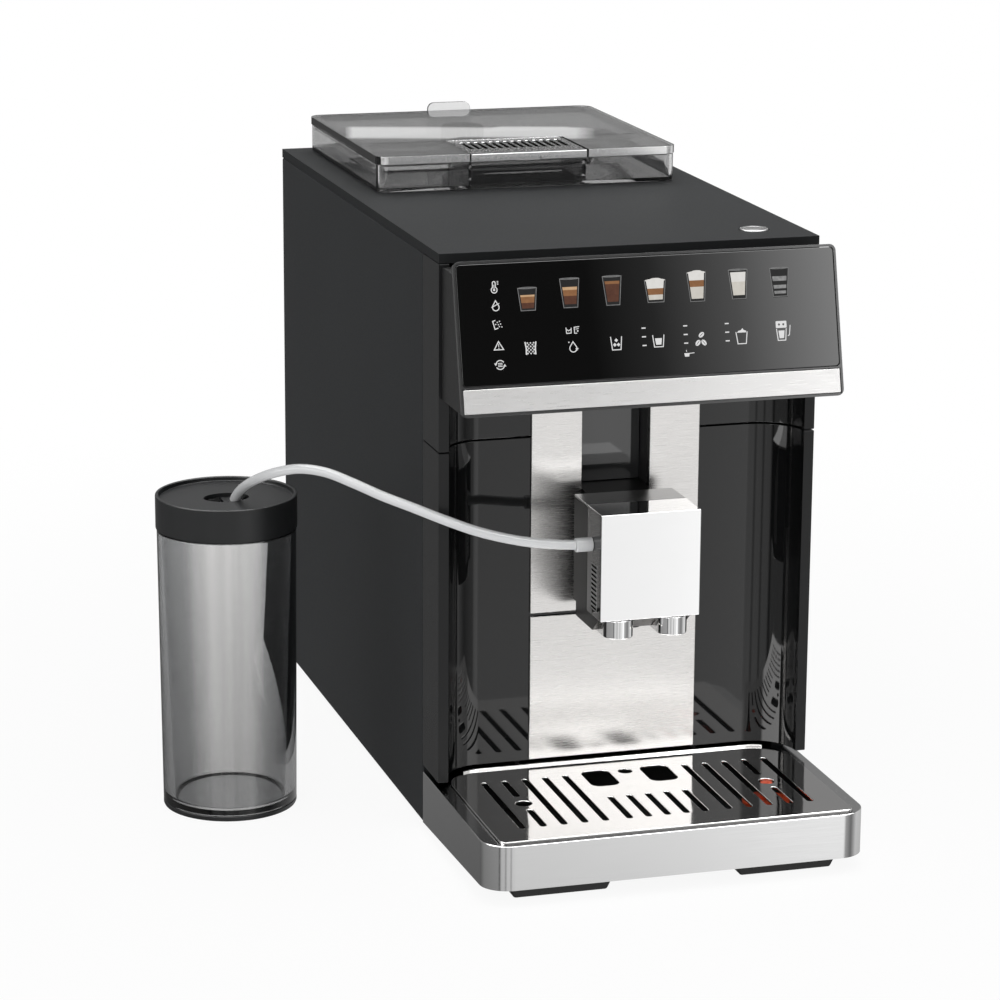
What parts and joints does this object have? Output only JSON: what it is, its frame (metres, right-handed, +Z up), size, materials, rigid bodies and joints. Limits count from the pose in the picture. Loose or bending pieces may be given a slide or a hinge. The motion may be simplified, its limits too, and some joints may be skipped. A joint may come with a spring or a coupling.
{
  "type": "coffee machine",
  "caption": "Bean-to-cup coffee machine with bean hopper, height-adjustable dispenser head, drip tray, rear water tank and a separate milk container joined by a hose.",
  "frame": {"origin": "centre of the base of the whole rigid object, machine and milk container together, on the table plane; the machine's own centre plane lies at x = +0.06525", "axes": "+X to the right seen from the front, +Y to the back of the machine, +Z up"},
  "size_m": [0.3404, 0.4554, 0.3492],
  "materials": {
    "housing": "satin charcoal",
    "gloss": "glossy black",
    "dark": "matte black",
    "steel": "brushed",
    "chrome": "polished",
    "zinc": "cast",
    "smoke": "smoky translucent",
    "clear": "clear",
    "rubber": "matte",
    "hose": "milky translucent silicone",
    "red": "satin",
    "board": "matte"
  },
  "bodies": {
    "machine": {"base_plate": "dark", "foot_front_left": "rubber", "foot_front_right": "rubber", "foot_rear_left": "rubber", "foot_rear_right": "rubber", "side_panel_left": "housing", "side_panel_right": "housing", "rear_panel": "housing", "top_cover": "housing", "front_frame_lower": "gloss", "front_frame_upper": "gloss", "steel_plate_left": "steel", "steel_plate_right": "steel", "guide_rod_left": "zinc", "guide_rod_right": "zinc", "channel_liner": "dark", "chassis": "dark", "panel_housing": "dark", "panel_bezel": "dark", "panel_glass": "gloss", "panel_trim": "steel", "control_board": "board", "hopper_bin": "smoke", "grinder_housing": "dark", "grinder_motor": "zinc", "brew_frame": "dark", "brew_piston": "zinc", "brew_motor": "zinc", "thermoblock": "zinc", "water_pump": "zinc", "power_board": "board", "power_inlet": "dark"},
    "dispenser_head": {"head_cover": "chrome", "head_body": "dark", "spout_left": "chrome", "spout_right": "chrome", "milk_nozzle": "dark", "hose_nipple": "steel"},
    "drip_tray": {"tray_band": "steel", "tray_basin": "dark", "tray_foot_left": "dark", "tray_foot_right": "dark"},
    "grate": {"drip_grate": "steel"},
    "float": {"tray_float": "red"},
    "grounds_drawer": {"grounds_container": "dark", "grounds_front": "steel"},
    "bean_lid": {"hopper_lid": "smoke"},
    "powder_flap": {"hopper_flap": "smoke"},
    "grind_dial": {"grind_knob": "dark"},
    "burr": {"grinding_burr": "zinc"},
    "button": {"power_button": "steel"},
    "brew_drive": {"brew_screw": "zinc"},
    "chamber": {"brew_chamber": "dark"},
    "tank": {"water_tank": "clear", "tank_valve": "dark"},
    "milk_container": {"milk_cup": "smoke", "cup_ring": "dark"},
    "container_lid": {"cup_lid": "dark", "milk_hose": "hose"}
  },
  "joints": [
    {"name": "head_slide", "type": "slide", "parent": "machine", "child": "dispenser_head", "axis": [0, 0, 1], "range_m": [0, 0.05]},
    {"name": "tray_slide", "type": "slide", "parent": "machine", "child": "drip_tray", "axis": [0, -1, 0], "range_m": [0, 0.13]},
    {"name": "grate_lift", "type": "slide", "parent": "drip_tray", "child": "grate", "axis": [0, 0, 1], "range_m": [0, 0.04]},
    {"name": "float_rise", "type": "slide", "parent": "drip_tray", "child": "float", "axis": [0, 0, 1], "range_m": [0, 0.005]},
    {"name": "grounds_slide", "type": "slide", "parent": "machine", "child": "grounds_drawer", "axis": [0, -1, 0], "range_m": [0, 0.11]},
    {"name": "bean_lid_lift", "type": "slide", "parent": "machine", "child": "bean_lid", "axis": [0, 0, 1], "range_m": [0, 0.04]},
    {"name": "flap_hinge", "type": "hinge", "parent": "bean_lid", "child": "powder_flap", "pos_m": [0.06525, 0.102, 0.3425], "axis": [-1, 0, 0], "range_deg": [0, 90]},
    {"name": "grind_dial_turn", "type": "hinge", "parent": "machine", "child": "grind_dial", "pos_m": [0.06525, 0.1947, 0.331], "axis": [0, 0, 1], "range_deg": [-150, 150]},
    {"name": "burr_spin", "type": "hinge", "parent": "machine", "child": "burr", "pos_m": [0.06525, 0.1297, 0.24], "axis": [0, 0, 1], "continuous": true},
    {"name": "power_button_press", "type": "slide", "parent": "machine", "child": "button", "axis": [0, 0, -1], "range_m": [0, 0.0015], "stiffness_N_per_m": 400},
    {"name": "brew_screw_turn", "type": "hinge", "parent": "machine", "child": "brew_drive", "pos_m": [0.09625, -0.0323, 0.17], "axis": [0, 0, 1], "range_deg": [0, 1810]},
    {"name": "brew_chamber_rise", "type": "slide", "parent": "machine", "child": "chamber", "axis": [0, 0, 1], "range_m": [0, 0.02]},
    {"name": "tank_slide", "type": "slide", "parent": "machine", "child": "tank", "axis": [0, 1, 0], "range_m": [0, 0.12]},
    {"name": "milk_container_lift", "type": "slide", "parent": "machine", "child": "milk_container", "axis": [0, 0, 1], "range_m": [0, 0.03]},
    {"name": "container_lid_lift", "type": "slide", "parent": "milk_container", "child": "container_lid", "axis": [0, 0, 1], "range_m": [0, 0.02]}
  ],
  "couplings": [
    {"joint": "brew_screw_turn", "follows": "brew_chamber_rise", "rad_per_m": 1570.8}
  ]
}
